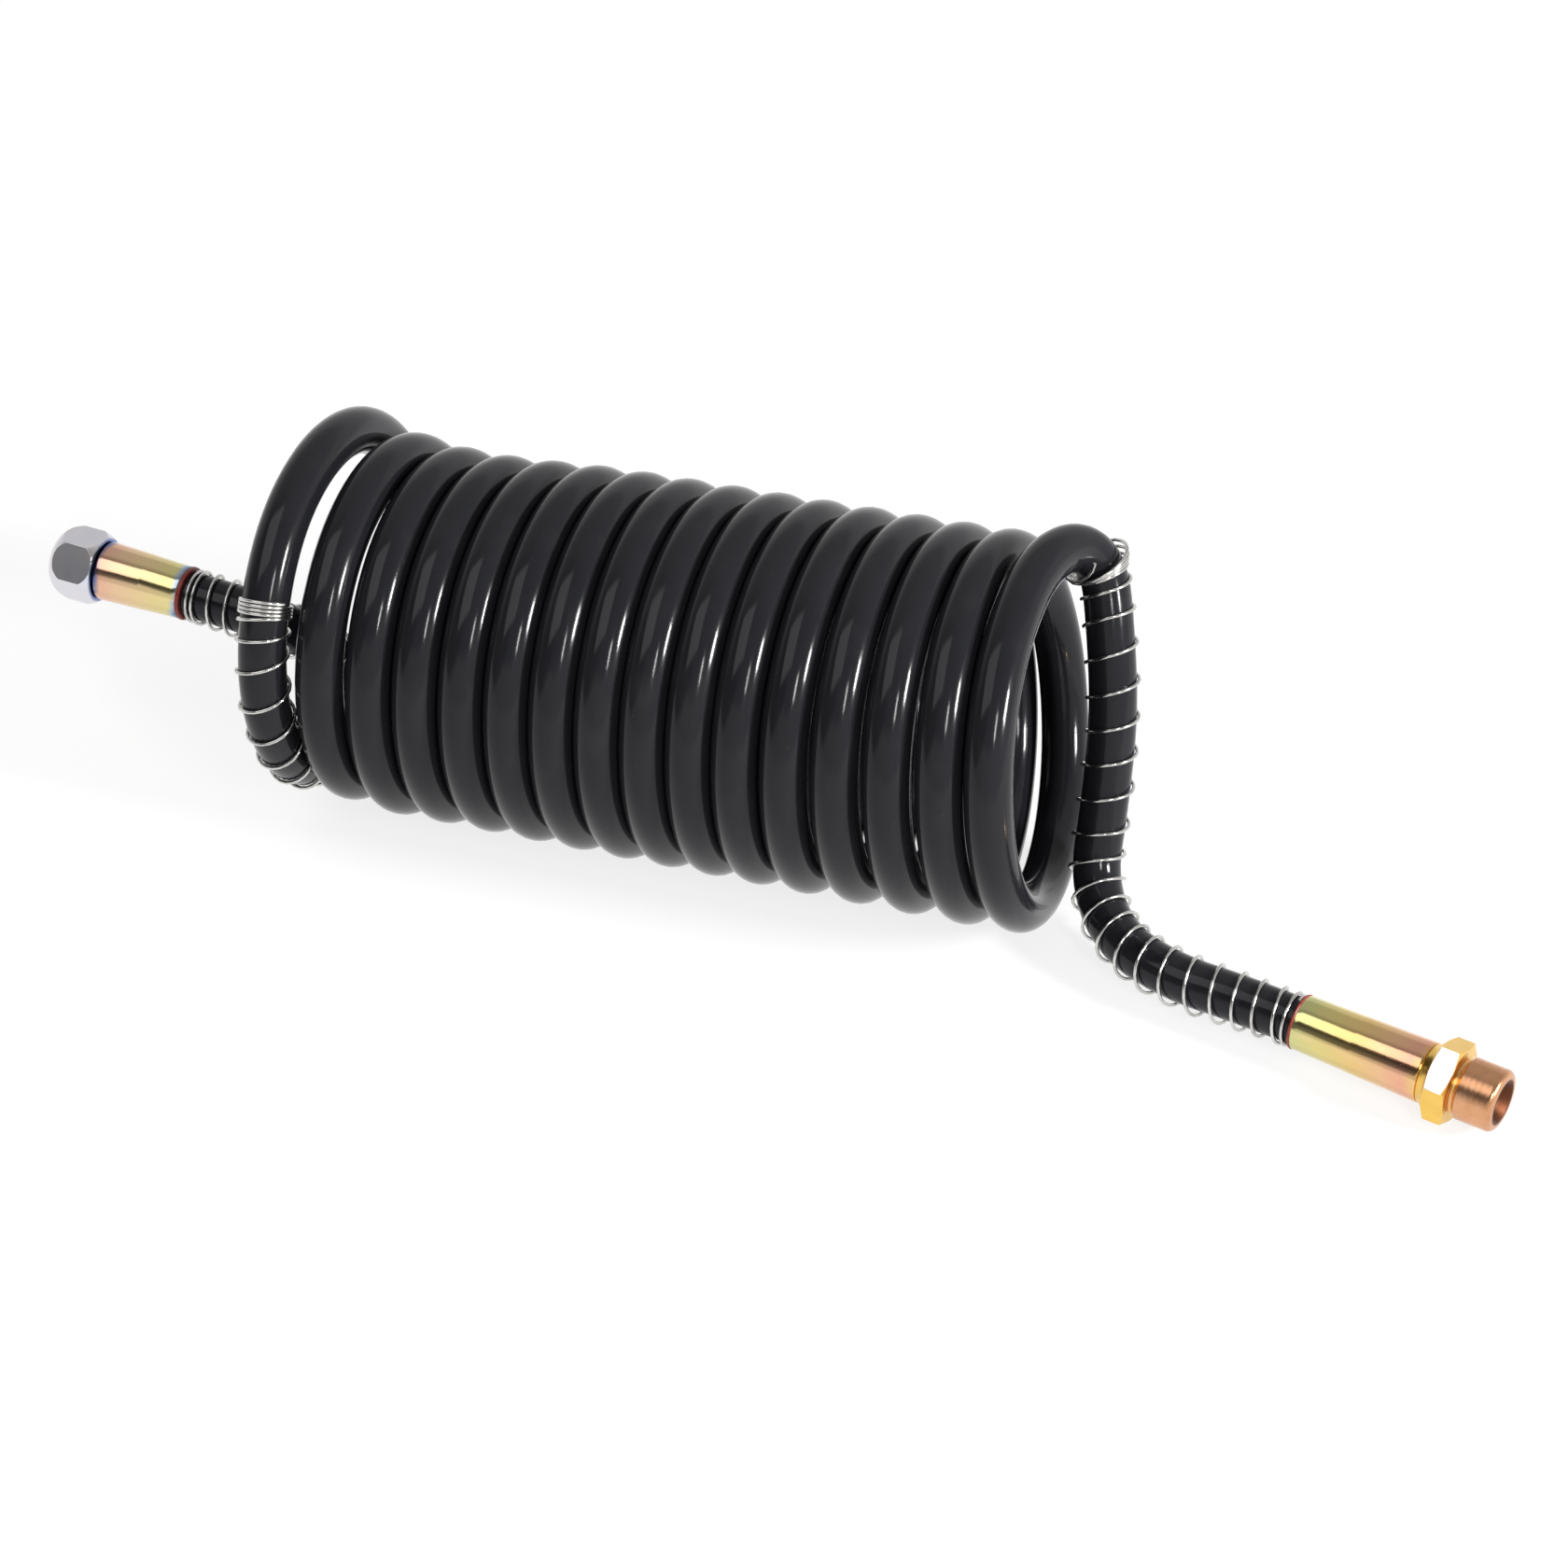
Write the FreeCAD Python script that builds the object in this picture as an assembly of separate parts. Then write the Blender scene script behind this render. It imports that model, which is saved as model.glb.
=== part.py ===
"""Coiled air hose with two wire-guarded tails, a swivel union nut and a male stud fitting.

Row frame: +X along the coil's axis towards the male stud, +Z up, floor at z = 0,
origin under the middle of the whole assembly.  All lengths are millimetres.
"""
import FreeCAD, Part
import math
import os

from FreeCAD import Vector

# ---- driving dimensions ------------------------------------------------------------------
ORIGIN_X = 115.0          # middle of the assembly, measured from the coil's left end face
ORIGIN_Y = -7.3           # middle of the assembly, measured from the coil's axis

HOSE_R = 6.0              # 12 x 1.5 polyamide tube
HOSE_BORE_R = 4.5
COIL_R = 43.0             # centreline radius of a tight turn
COIL_LENGTH = 184.0       # fifteen tight turns, end face to end face
COIL_AXIS_Z = COIL_R + HOSE_R
DEGREES_PER_POINT = 30

GUARD_R = 7.6             # outside of the wire guard where it stands off the tube
GUARD_WALL = 1.1          # wire diameter
GUARD_CLEARANCE = 0.05

FERRULE_MOUTH_R = 7.0
FERRULE_ROOT_R = 7.75
FERRULE_BORE_R = HOSE_R + 0.05
FERRULE_END_WALL = 3.5
BARB_CREST_R = HOSE_BORE_R - 0.05
BARB_VALLEY_R = 4.1
BARB_PITCH = 4.0
STEM_BORE_R = 3.4

STRAIGHT_LEAD = 14.0      # tube stays straight this far before a ferrule's mouth
RING_WIDTH = 1.2          # coloured plastic ring at each ferrule mouth
RING_R = 7.4

LEFT_MOUTH = (-45.7, 1.4, 44.0)
LEFT_YAW = 180.0 - 7.5    # the left fitting points away from the coil, turned to the back
LEFT_FERRULE_LENGTH = 24.0
LEFT_HOSE_DEPTH = 20.5

NUT_START = 26.0          # distances along the fitting from the ferrule's mouth
NUT_LENGTH = 12.0
NUT_ACROSS_FLATS = 17.0
NUT_REAR_WALL = 2.2
NUT_REAR_HOLE_R = 5.1
NUT_CHAMBER_R = 6.6
NUT_CHAMBER_END = 31.5
NUT_THREAD_R = 6.19       # M14 x 1.5 minor radius
NECK_R = 5.05
HEAD_START = 28.3
HEAD_R = 6.3
HEAD_END = 30.2
WASHER_THICKNESS = 1.2
WASHER_R = 6.2

RIGHT_MOUTH = (COIL_LENGTH + 76.1, -41.4, 9.55)
RIGHT_YAW = -15.5         # the right fitting lies on the floor, turned to the front
RIGHT_FERRULE_LENGTH = 34.5
RIGHT_HOSE_DEPTH = 31.0
SHOULDER_LENGTH = 2.5
STUD_HEX_LENGTH = 6.0
STUD_ACROSS_FLATS = 19.0
STUD_NECK_LENGTH = 2.0
STUD_NECK_R = 6.9
STUD_THREAD_R = 8.0       # M16 x 1.5
STUD_THREAD_LENGTH = 9.5
STUD_CHAMFER = 0.9

LOOSE_FROM = 235          # first control point of the loose turn, degrees round the coil
LOOSE_AXIS_Z = 51.8       # the loose turn is a little larger than the tight ones
LOOSE_R = 44.3
LOOSE_START_R = 42.0
LOOSE_TURN_X = (-8.0, -8.0, -8.6, -10.2, -10.5, -8.9, -1.5, 9.0)


# ---- routes ------------------------------------------------------------------------------
def on_loose_turn(step, x):
    """Control point of the loose turn: 0 degrees is the back, 90 the top, 180 the front."""
    degrees = LOOSE_FROM - step * DEGREES_PER_POINT
    angle = math.radians(degrees)
    radius = min(LOOSE_R, LOOSE_START_R + 1.2 * step) / math.cos(math.radians(DEGREES_PER_POINT / 2))
    return Vector(x, radius * math.cos(angle), LOOSE_AXIS_Z + radius * math.sin(angle))


def heading(yaw):
    angle = math.radians(yaw)
    return Vector(math.cos(angle), math.sin(angle), 0)


def left_route():
    """From inside the left ferrule, down behind the loose turn, round it, into the coil."""
    mouth = Vector(*LEFT_MOUTH)
    points = [
        mouth + heading(LEFT_YAW) * LEFT_HOSE_DEPTH,
        mouth - heading(LEFT_YAW) * STRAIGHT_LEAD,
        Vector(-18.0, -1.5, 42.0),
        Vector(-9.5, 7.0, 29.0),
        Vector(-9.5, 8.5, 15.5),
        Vector(-9.5, -2.0, 7.2),
    ]
    for step, x in enumerate(LOOSE_TURN_X):
        points.append(on_loose_turn(step, x))
    return points


def right_route():
    """Out of the coil's right end, over in a tight curl, down its face and along the floor."""
    mouth = Vector(*RIGHT_MOUTH)
    end = COIL_LENGTH
    return [
        Vector(end - 14.0, -18.0, 93.0),
        Vector(end - 6.0, 6.0, 95.5),
        Vector(end - 0.5, 24.0, 93.5),
        Vector(end + 7.0, 28.0, 85.0),
        Vector(end + 10.5, 20.0, 71.5),
        Vector(end + 12.0, 10.5, 52.0),
        Vector(end + 14.0, 1.5, 30.0),
        Vector(end + 15.5, -7.0, 13.0),
        Vector(end + 25.0, -20.5, 7.8),
        Vector(end + 42.0, -31.5, 8.2),
        mouth - heading(RIGHT_YAW) * STRAIGHT_LEAD,
        mouth + heading(RIGHT_YAW) * RIGHT_HOSE_DEPTH,
    ]


def corner_radii(points):
    """Arc radius at each inner point: 0.45 of its shorter run over the tangent of half the turn."""
    radii = {}
    for index in range(1, len(points) - 1):
        before = points[index] - points[index - 1]
        after = points[index + 1] - points[index]
        shorter = min(before.Length, after.Length)
        radii[index] = 0.45 * shorter / math.tan(before.getAngle(after) / 2)
    return radii


def rounded_edges(points, radii):
    """Straight runs joined by tangent arcs, one list of edges per run and arc in turn."""
    edges = []
    start = points[0]
    for index in range(1, len(points) - 1):
        before = (points[index - 1] - points[index]).normalize()
        after = (points[index + 1] - points[index]).normalize()
        half_turn = (math.pi - before.getAngle(after)) / 2
        setback = radii[index] * math.tan(half_turn)
        arc_start = points[index] + before * setback
        arc_end = points[index] + after * setback
        inward = (before + after).normalize()
        middle = points[index] + inward * (radii[index] / math.cos(half_turn) - radii[index])
        edges.append(Part.LineSegment(start, arc_start).toShape())
        edges.append(Part.Arc(arc_start, middle, arc_end).toShape())
        start = arc_end
    edges.append(Part.LineSegment(start, points[-1]).toShape())
    return edges


def swept(edges, radius):
    """A round bar along the edges, as one solid."""
    spine = Part.Wire(edges)
    start = edges[0].valueAt(edges[0].FirstParameter)
    direction = edges[0].tangentAt(edges[0].FirstParameter)
    profile = Part.Wire([Part.makeCircle(radius, start, direction)])
    return spine.makePipeShell([profile], True, False)


def tube(edges, outer_r, inner_r):
    return swept(edges, outer_r).cut(swept(edges, inner_r))


def half_space(x_from, x_to):
    return Part.makeBox(x_to - x_from, 400, 400, Vector(x_from, -200, -100))


def report_route(name, edges, radii):
    length = sum(edge.Length for edge in edges)
    listed = ", ".join("%.1f" % radii[index] for index in sorted(radii))
    print("%s: length %.1f mm, arc radii %s" % (name, length, listed))
    return length


# ---- turned and hexagonal shapes, along local +X -----------------------------------------
def turned(profile):
    """Revolve a closed outline of (distance along the axis, radius) points about X."""
    points = [Vector(along, radius, 0) for along, radius in profile]
    face = Part.Face(Part.makePolygon(points + points[:1]))
    return face.revolve(Vector(0, 0, 0), Vector(1, 0, 0), 360)


def hexagon(start, length, across_flats, chamfer):
    """Hexagonal bar with flats up and down and both ends' corners chamfered at 30 degrees."""
    corner_r = across_flats / math.sqrt(3)
    corners = []
    for step in range(6):
        angle = math.radians(60 * step)
        corners.append(Vector(start, corner_r * math.cos(angle), corner_r * math.sin(angle)))
    bar = Part.Face(Part.makePolygon(corners + corners[:1])).extrude(Vector(length, 0, 0))
    slope = math.tan(math.radians(30))
    flat_r = across_flats / 2 - chamfer
    reach = corner_r + 1
    rise = (reach - flat_r) * slope
    barrel = turned([
        (start, 0), (start, flat_r), (start + rise, reach),
        (start + length - rise, reach), (start + length, flat_r), (start + length, 0),
    ])
    return bar.common(barrel)


def placed(shape, mouth, yaw):
    shape = shape.copy()
    turn = FreeCAD.Rotation(Vector(0, 0, 1), yaw)
    shape.Placement = FreeCAD.Placement(Vector(*mouth), turn)
    return shape


def rolled(shape, degrees):
    shape = shape.copy()
    shape.rotate(Vector(0, 0, 0), Vector(1, 0, 0), degrees)
    return shape


def ferrule(length):
    """Crimped sleeve: slim rolled lip at the hose, wider root with an end wall at the fitting."""
    wall_start = length - FERRULE_END_WALL
    return turned([
        (0, FERRULE_BORE_R), (0, FERRULE_MOUTH_R - 0.3), (0.5, FERRULE_MOUTH_R),
        (length - 1.0, FERRULE_ROOT_R), (length, FERRULE_ROOT_R - 0.6),
        (length, BARB_CREST_R), (wall_start, BARB_CREST_R), (wall_start, FERRULE_BORE_R),
    ])


def barbs(start, end):
    """Outline of a barbed insert, rising along +X so that the hose can't pull off."""
    outline = [(start, STEM_BORE_R)]
    along = start
    while along + BARB_PITCH <= end:
        outline.append((along, BARB_VALLEY_R))
        outline.append((along + BARB_PITCH * 0.9, BARB_CREST_R))
        along += BARB_PITCH
    outline.append((along, BARB_CREST_R))
    return outline


def stem_left():
    """Barbed insert whose head is trapped in the union nut."""
    outline = barbs(0.5, LEFT_HOSE_DEPTH - 0.5)
    outline += [
        (LEFT_FERRULE_LENGTH, BARB_CREST_R), (LEFT_FERRULE_LENGTH, NECK_R),
        (HEAD_START, NECK_R), (HEAD_START, HEAD_R), (HEAD_END, HEAD_R), (HEAD_END, STEM_BORE_R),
    ]
    return turned(outline)


def sealing_washer():
    end = HEAD_END + WASHER_THICKNESS
    return turned([(HEAD_END, STEM_BORE_R), (HEAD_END, WASHER_R), (end, WASHER_R), (end, STEM_BORE_R)])


def union_nut():
    """Hexagonal swivel nut: close rear hole, chamber for the head, then the M14 thread."""
    end = NUT_START + NUT_LENGTH
    body = hexagon(NUT_START, NUT_LENGTH, NUT_ACROSS_FLATS, 0.2)
    rear = NUT_START + NUT_REAR_WALL
    hollow = turned([
        (NUT_START - 1, 0), (NUT_START - 1, NUT_REAR_HOLE_R), (rear, NUT_REAR_HOLE_R),
        (rear, NUT_CHAMBER_R), (NUT_CHAMBER_END, NUT_CHAMBER_R), (NUT_CHAMBER_END, NUT_THREAD_R),
        (end - 0.8, NUT_THREAD_R), (end + 0.2, NUT_THREAD_R + 1.0), (end + 0.2, 0),
    ])
    return body.cut(hollow)


def male_stud():
    """Barbed insert, cone shoulder, hexagon, relief neck and M16 stud in one turned piece."""
    hex_start = RIGHT_FERRULE_LENGTH + SHOULDER_LENGTH
    hex_end = hex_start + STUD_HEX_LENGTH
    thread_start = hex_end + STUD_NECK_LENGTH
    end = thread_start + STUD_THREAD_LENGTH
    outline = barbs(2.0, RIGHT_HOSE_DEPTH - 0.5)
    outline += [
        (RIGHT_FERRULE_LENGTH, BARB_CREST_R), (RIGHT_FERRULE_LENGTH, 6.8),
        (hex_start, STUD_ACROSS_FLATS / 2 - 0.2), (hex_end, STUD_ACROSS_FLATS / 2 - 0.2),
        (hex_end, STUD_NECK_R), (thread_start - 0.6, STUD_NECK_R),
        (thread_start, STUD_THREAD_R), (end - STUD_CHAMFER, STUD_THREAD_R),
        (end, STUD_THREAD_R - STUD_CHAMFER), (end, STEM_BORE_R),
    ]
    flats = hexagon(hex_start, STUD_HEX_LENGTH, STUD_ACROSS_FLATS, 0.2)
    bore = Part.makeCylinder(STUD_NECK_R - 1, STUD_HEX_LENGTH + 2, Vector(hex_start - 1, 0, 0), Vector(1, 0, 0))
    return turned(outline).fuse(flats.cut(bore)).removeSplitter()


def mouth_ring():
    """Coloured ring pressed against the ferrule's mouth, round the tube."""
    return turned([(-RING_WIDTH, FERRULE_BORE_R), (-RING_WIDTH, RING_R), (0, RING_R), (0, FERRULE_BORE_R)])


# ---- assembly ----------------------------------------------------------------------------
def guard(mouth, yaw, points, radii, last_inner, share):
    """Wire guard from just behind the mouth ring to part of the way along a later run."""
    start = Vector(*mouth) - heading(yaw) * RING_WIDTH
    stop = points[last_inner] + (points[last_inner + 1] - points[last_inner]) * share
    inner = points[1:last_inner + 1]
    edges = rounded_edges([start] + inner + [stop], radii)
    return tube(edges, GUARD_R, GUARD_R - GUARD_WALL), edges


def coil():
    """The fifteen tight turns as one hollow cylinder of their outer shape."""
    outer = Part.makeCylinder(COIL_R + HOSE_R, COIL_LENGTH, Vector(0, 0, COIL_AXIS_Z), Vector(1, 0, 0))
    inner = Part.makeCylinder(COIL_R - HOSE_R, COIL_LENGTH, Vector(0, 0, COIL_AXIS_Z), Vector(1, 0, 0))
    return outer.cut(inner)


def build():
    left = left_route()
    left_radii = corner_radii(left)
    left_edges = rounded_edges(left, left_radii)
    left_length = report_route("left tail", left_edges, left_radii)

    right = right_route()
    right_radii = corner_radii(right)
    right_edges = rounded_edges(right, right_radii)
    right_length = report_route("right tail", right_edges, right_radii)

    left_tube = tube(left_edges, HOSE_R, HOSE_BORE_R)
    right_tube = tube(right_edges, HOSE_R, HOSE_BORE_R)
    section = math.pi * (HOSE_R ** 2 - HOSE_BORE_R ** 2)
    print("volume over section times length: left %.4f, right %.4f" % (
        left_tube.Volume / (section * left_length), right_tube.Volume / (section * right_length)))

    left_guard, guard_edges = guard(LEFT_MOUTH, LEFT_YAW, left, left_radii, 9, 0.5)
    print("left guard length %.1f mm" % sum(edge.Length for edge in guard_edges))
    reversed_right = right[::-1]
    reversed_radii = corner_radii(reversed_right)
    right_guard, guard_edges = guard(RIGHT_MOUTH, RIGHT_YAW, reversed_right, reversed_radii, 7, 0.5)
    print("right guard length %.1f mm" % sum(edge.Length for edge in guard_edges))

    shapes = {
        "hose_coil": coil(),
        "hose_tail_left": left_tube.common(half_space(-200, 0)),
        "spring_guard_left": left_guard,
        "ferrule_left": placed(ferrule(LEFT_FERRULE_LENGTH), LEFT_MOUTH, LEFT_YAW),
        "mouth_ring_left": placed(mouth_ring(), LEFT_MOUTH, LEFT_YAW),
        "stem_left": placed(stem_left(), LEFT_MOUTH, LEFT_YAW),
        "sealing_washer": placed(sealing_washer(), LEFT_MOUTH, LEFT_YAW),
        "union_nut": placed(rolled(union_nut(), 12), LEFT_MOUTH, LEFT_YAW),
        "hose_tail_right": right_tube.common(half_space(COIL_LENGTH, 500)),
        "spring_guard_right": right_guard,
        "ferrule_right": placed(ferrule(RIGHT_FERRULE_LENGTH), RIGHT_MOUTH, RIGHT_YAW),
        "mouth_ring_right": placed(mouth_ring(), RIGHT_MOUTH, RIGHT_YAW),
        "male_stud": placed(male_stud(), RIGHT_MOUTH, RIGHT_YAW),
    }
    return shapes


def write(shapes):
    os.makedirs("parts", exist_ok=True)
    whole = FreeCAD.BoundBox()
    for name, shape in shapes.items():
        solid = shape.copy()
        solid.translate(Vector(-ORIGIN_X, -ORIGIN_Y, 0))
        if solid.ShapeType != "Solid" and len(solid.Solids) == 1:
            solid = solid.Solids[0]
        print("%-20s valid %s solids %d volume %.1f" % (name, solid.isValid(), len(solid.Solids), solid.Volume))
        for point in solid.tessellate(0.2)[0]:
            whole.add(point)
        solid.exportStep("parts/%s.step" % name)
    print("whole box: %.2f..%.2f, %.2f..%.2f, %.2f..%.2f" % (
        whole.XMin, whole.XMax, whole.YMin, whole.YMax, whole.ZMin, whole.ZMax))


write(build())
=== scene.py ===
# %% [markdown]
# # A coiled air hose, piece by piece
# The object is a recoil hose for compressed air: one long black polyamide tube, heat-set into
# sixteen turns, with a wire guard on each tail and a threaded fitting on each end. The CAD model
# gives the sizes, the places and the bodies that move. This lesson adds what the eye looks for:
# the real helix, the guards' wire, the threads, and how nylon and plated metal catch the light.

# %% Load the frame
import math

import bpy
from mathutils import Matrix, Vector, noise


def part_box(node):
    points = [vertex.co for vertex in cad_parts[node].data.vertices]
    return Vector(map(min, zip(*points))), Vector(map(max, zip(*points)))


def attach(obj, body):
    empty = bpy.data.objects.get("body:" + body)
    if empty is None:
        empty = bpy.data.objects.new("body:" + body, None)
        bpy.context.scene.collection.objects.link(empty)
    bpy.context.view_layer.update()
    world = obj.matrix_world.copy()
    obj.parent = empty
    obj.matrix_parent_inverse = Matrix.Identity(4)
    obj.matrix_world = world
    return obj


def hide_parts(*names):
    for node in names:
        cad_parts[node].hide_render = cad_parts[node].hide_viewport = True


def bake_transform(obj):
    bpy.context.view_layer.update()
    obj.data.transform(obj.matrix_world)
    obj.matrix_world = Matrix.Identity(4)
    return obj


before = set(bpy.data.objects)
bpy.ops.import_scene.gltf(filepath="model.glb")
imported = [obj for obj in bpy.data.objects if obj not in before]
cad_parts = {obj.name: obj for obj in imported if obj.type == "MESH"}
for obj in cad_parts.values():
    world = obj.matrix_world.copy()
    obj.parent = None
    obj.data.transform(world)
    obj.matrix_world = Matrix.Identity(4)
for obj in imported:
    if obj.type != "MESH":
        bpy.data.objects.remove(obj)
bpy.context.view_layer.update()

MM = 0.001

# %% [markdown]
# ## Where things are
# Everything hangs off the closed coil, so its box is read from the frame first: its left face is
# where the coil's own measure starts, and its axis runs along X. Points below are written in
# millimetres from that face and that axis, as the hose is drawn, and `from_coil` turns them into
# the frame's metres. The tails and fittings follow the same measure.

# %% The coil's own measure
coil_low, coil_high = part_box("hose_coil")
COIL_LEFT = coil_low[0] / MM
COIL_LENGTH = (coil_high[0] - coil_low[0]) / MM
AXIS_Y = (coil_low[1] + coil_high[1]) / 2 / MM
HOSE_R = 6.0


def from_coil(x, y, z):
    return Vector(((COIL_LEFT + x) * MM, (AXIS_Y + y) * MM, z * MM))


print("coil face at %.1f mm, %.1f mm long" % (COIL_LEFT, COIL_LENGTH))

# %% [markdown]
# ## The camera
# A long lens from the front right and well above shows the turns side by side with little
# perspective. The camera is placed from two angles, a distance and the point it looks at, because
# those four can be judged one by one, and a tracking constraint would only hide them.

# %% Camera
VIEW_AZIMUTH = math.radians(16.4)
VIEW_ELEVATION = math.radians(39.6)
VIEW_DISTANCE = 1.3
LENS_MM = 118.0
AIM = Vector((0.0040, -0.0030, 0.0275))


def look_from(azimuth, elevation):
    level = math.cos(elevation)
    return Vector((math.sin(azimuth) * level, -math.cos(azimuth) * level, math.sin(elevation)))


def aimed_camera():
    bpy.ops.object.camera_add()
    camera = bpy.context.object
    camera.name = "view"
    camera.data.lens = LENS_MM
    camera.data.sensor_width = 36.0
    camera.data.clip_start = 0.01
    away = look_from(VIEW_AZIMUTH, VIEW_ELEVATION)
    camera.location = AIM + away * VIEW_DISTANCE
    camera.rotation_euler = away.to_track_quat("Z", "Y").to_euler()
    bpy.context.scene.camera = camera
    return camera


print("camera at", [round(value, 3) for value in aimed_camera().location])

# %% [markdown]
# ## The hose's route
# The hose is one curve from ferrule to ferrule. Its tails are points given one by one, as the tube
# droops and bends, and its turns are worked out in a loop, twelve points to a turn. A quadratic
# NURBS spline then runs through the middle of each leg between the points, which gives round
# turns with no corners. The points of a turn sit a little outside it for that reason.
# The real coil has relaxed: its turns lean to the left at the top, they grow a little towards the
# right, and the first one has sprung open.

# %% Control points
LEFT_MOUTH = Vector((-45.7, 1.4, 44.0))
LEFT_YAW = math.radians(180.0 - 7.5)
RIGHT_MOUTH = Vector((COIL_LENGTH + 76.1, -41.4, 9.55))
RIGHT_YAW = math.radians(-15.5)
LEFT_HOSE_DEPTH = 20.5
RIGHT_HOSE_DEPTH = 31.0
STRAIGHT_LEAD = 14.0

STEP = 30                # degrees from one control point of a turn to the next
PITCH = 12.23
FIRST_TOP_X = -2.0
TURN_R = 42.0
TURN_GROWTH = 0.115      # mm of radius per turn
LEAN_BACK = 0.03
LEAN_UP = -0.095
LOOSE_X = (-6.4, -5.6, -4.9, -4.0, -3.0, -1.6, -1.0, -0.4)
LOOSE_FROM = 235         # degrees
LOOSE_R = 42.0
LOOSE_LAST_R = 44.3
LOOSE_AXIS_Z = 51.8
TIGHT_FROM = -5          # degrees
LAST_STEP = 176
EARLY_SHIFT = 2.4        # mm to the right, for the first turns
PULLED_FROM = 10.0       # turns from here on have been pulled apart
PULLED_BY = 0.95
LAST_TURN = 14.5
SPRUNG_R = 1.8           # how much wider the first turn has sprung
WAIST_TURN = 3.0         # the coil is narrowest here
WAIST_R = 0.7
FIRST_LIFT = 2.4         # mm clear of the floor, half way round the first turn
LAST_LIFT = 0.8


def clamp(value):
    return min(1.0, max(0.0, value))


def heading(yaw):
    return Vector((math.cos(yaw), math.sin(yaw), 0.0))


def turn_point(x, degrees, radius, axis_z):
    """A control point of a turn: 0 degrees is the back, 90 the top, 180 the front."""
    angle = math.radians(degrees)
    reach = radius / math.cos(math.radians(STEP / 2))
    y = reach * math.cos(angle)
    rise = reach * math.sin(angle)
    return Vector((x + LEAN_BACK * y + LEAN_UP * rise, y, axis_z + rise))


def left_tail():
    away = heading(LEFT_YAW)
    return [
        LEFT_MOUTH + away * LEFT_HOSE_DEPTH,
        LEFT_MOUTH - away * STRAIGHT_LEAD,
        Vector((-18.0, -1.5, 42.0)),
        Vector((-8.5, 7.0, 29.0)),
        Vector((-7.0, 8.5, 15.5)),
        Vector((-5.5, -2.0, 7.2)),
    ]


def loose_turn():
    points = []
    for step, x in enumerate(LOOSE_X):
        radius = min(LOOSE_LAST_R, LOOSE_R + 1.2 * step)
        points.append(turn_point(x, LOOSE_FROM - step * STEP, radius, LOOSE_AXIS_Z))
    return points


def spread(turns, degrees):
    """How far a turn sits from even spacing, in mm. The first turns have crept to the right, and
    the last have been pulled apart: most at the bottom, hardly at the top."""
    shift = EARLY_SHIFT * clamp((turns - 0.2) / 0.7) * (1.0 - clamp((turns - 4.5) / 6.0))
    angle = math.radians(degrees)
    share = 0.5 - 0.5 * math.sin(angle) - 0.22 * math.cos(angle)
    pulled = PULLED_BY * max(0.0, turns - PULLED_FROM) ** 1.3
    pulled *= 1.0 - 0.8 * max(0.0, turns - LAST_TURN)
    return shift + share * pulled


def tight_turns():
    points = []
    for step in range(LAST_STEP + 1):
        degrees = TIGHT_FROM - step * STEP
        turns = (90 - degrees) / 360
        radius = TURN_R + TURN_GROWTH * turns + SPRUNG_R * max(0.0, 1.0 - 0.8 * turns)
        radius -= WAIST_R * math.exp(-(((turns - WAIST_TURN) / 1.6) ** 2))
        x = FIRST_TOP_X + PITCH * turns + spread(turns, degrees)
        lift = FIRST_LIFT * max(0.0, 1.0 - abs(turns - 0.5))
        lift += LAST_LIFT * max(0.0, 1.0 - 2 * abs(turns - LAST_TURN))
        points.append(turn_point(x, degrees, radius, radius + HOSE_R + lift))
    return points


def right_tail():
    end = COIL_LENGTH
    away = heading(RIGHT_YAW)
    return [
        Vector((end - 6.0, 6.0, 96.5)),
        Vector((end - 0.5, 24.0, 93.0)),
        Vector((end + 6.5, 28.5, 84.5)),
        Vector((end + 10.8, 20.0, 71.0)),
        Vector((end + 14.8, 10.5, 52.0)),
        Vector((end + 15.4, 1.5, 30.0)),
        Vector((end + 15.4, -8.0, 13.0)),
        Vector((end + 25.0, -22.5, 7.7)),
        Vector((end + 42.0, -32.5, 8.0)),
        RIGHT_MOUTH - away * STRAIGHT_LEAD,
        RIGHT_MOUTH + away * RIGHT_HOSE_DEPTH,
    ]


route = [from_coil(*point) for point in left_tail() + loose_turn() + tight_turns() + right_tail()]
print("route:", len(route), "control points")

# %% [markdown]
# ## Reading the spline
# A mesh tube, the guards' wires and the pieces along the hose all follow the same smooth line. The
# spline is built once with no thickness, turned into a plain line of vertices, and read back in
# order. The order of a spline has to be set after its points exist, or Blender lowers it.

# %% The smooth centreline
POINTS_PER_LEG = 7


def smooth_line(points):
    data = bpy.data.curves.new("hose_line", "CURVE")
    data.dimensions = "3D"
    spline = data.splines.new("NURBS")
    spline.points.add(len(points) - 1)
    for spline_point, point in zip(spline.points, points):
        spline_point.co = (*point, 1.0)
    spline.order_u = 3
    spline.use_endpoint_u = True
    spline.resolution_u = POINTS_PER_LEG
    holder = bpy.data.objects.new("hose_line", data)
    bpy.context.collection.objects.link(holder)
    mesh = bpy.data.meshes.new_from_object(holder.evaluated_get(bpy.context.evaluated_depsgraph_get()))
    line = [vertex.co.copy() for vertex in mesh.vertices]
    bpy.data.objects.remove(holder)
    bpy.data.curves.remove(data)
    bpy.data.meshes.remove(mesh)
    return line


def distances(line):
    total = [0.0]
    for before, after in zip(line, line[1:]):
        total.append(total[-1] + (after - before).length)
    return total


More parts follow.
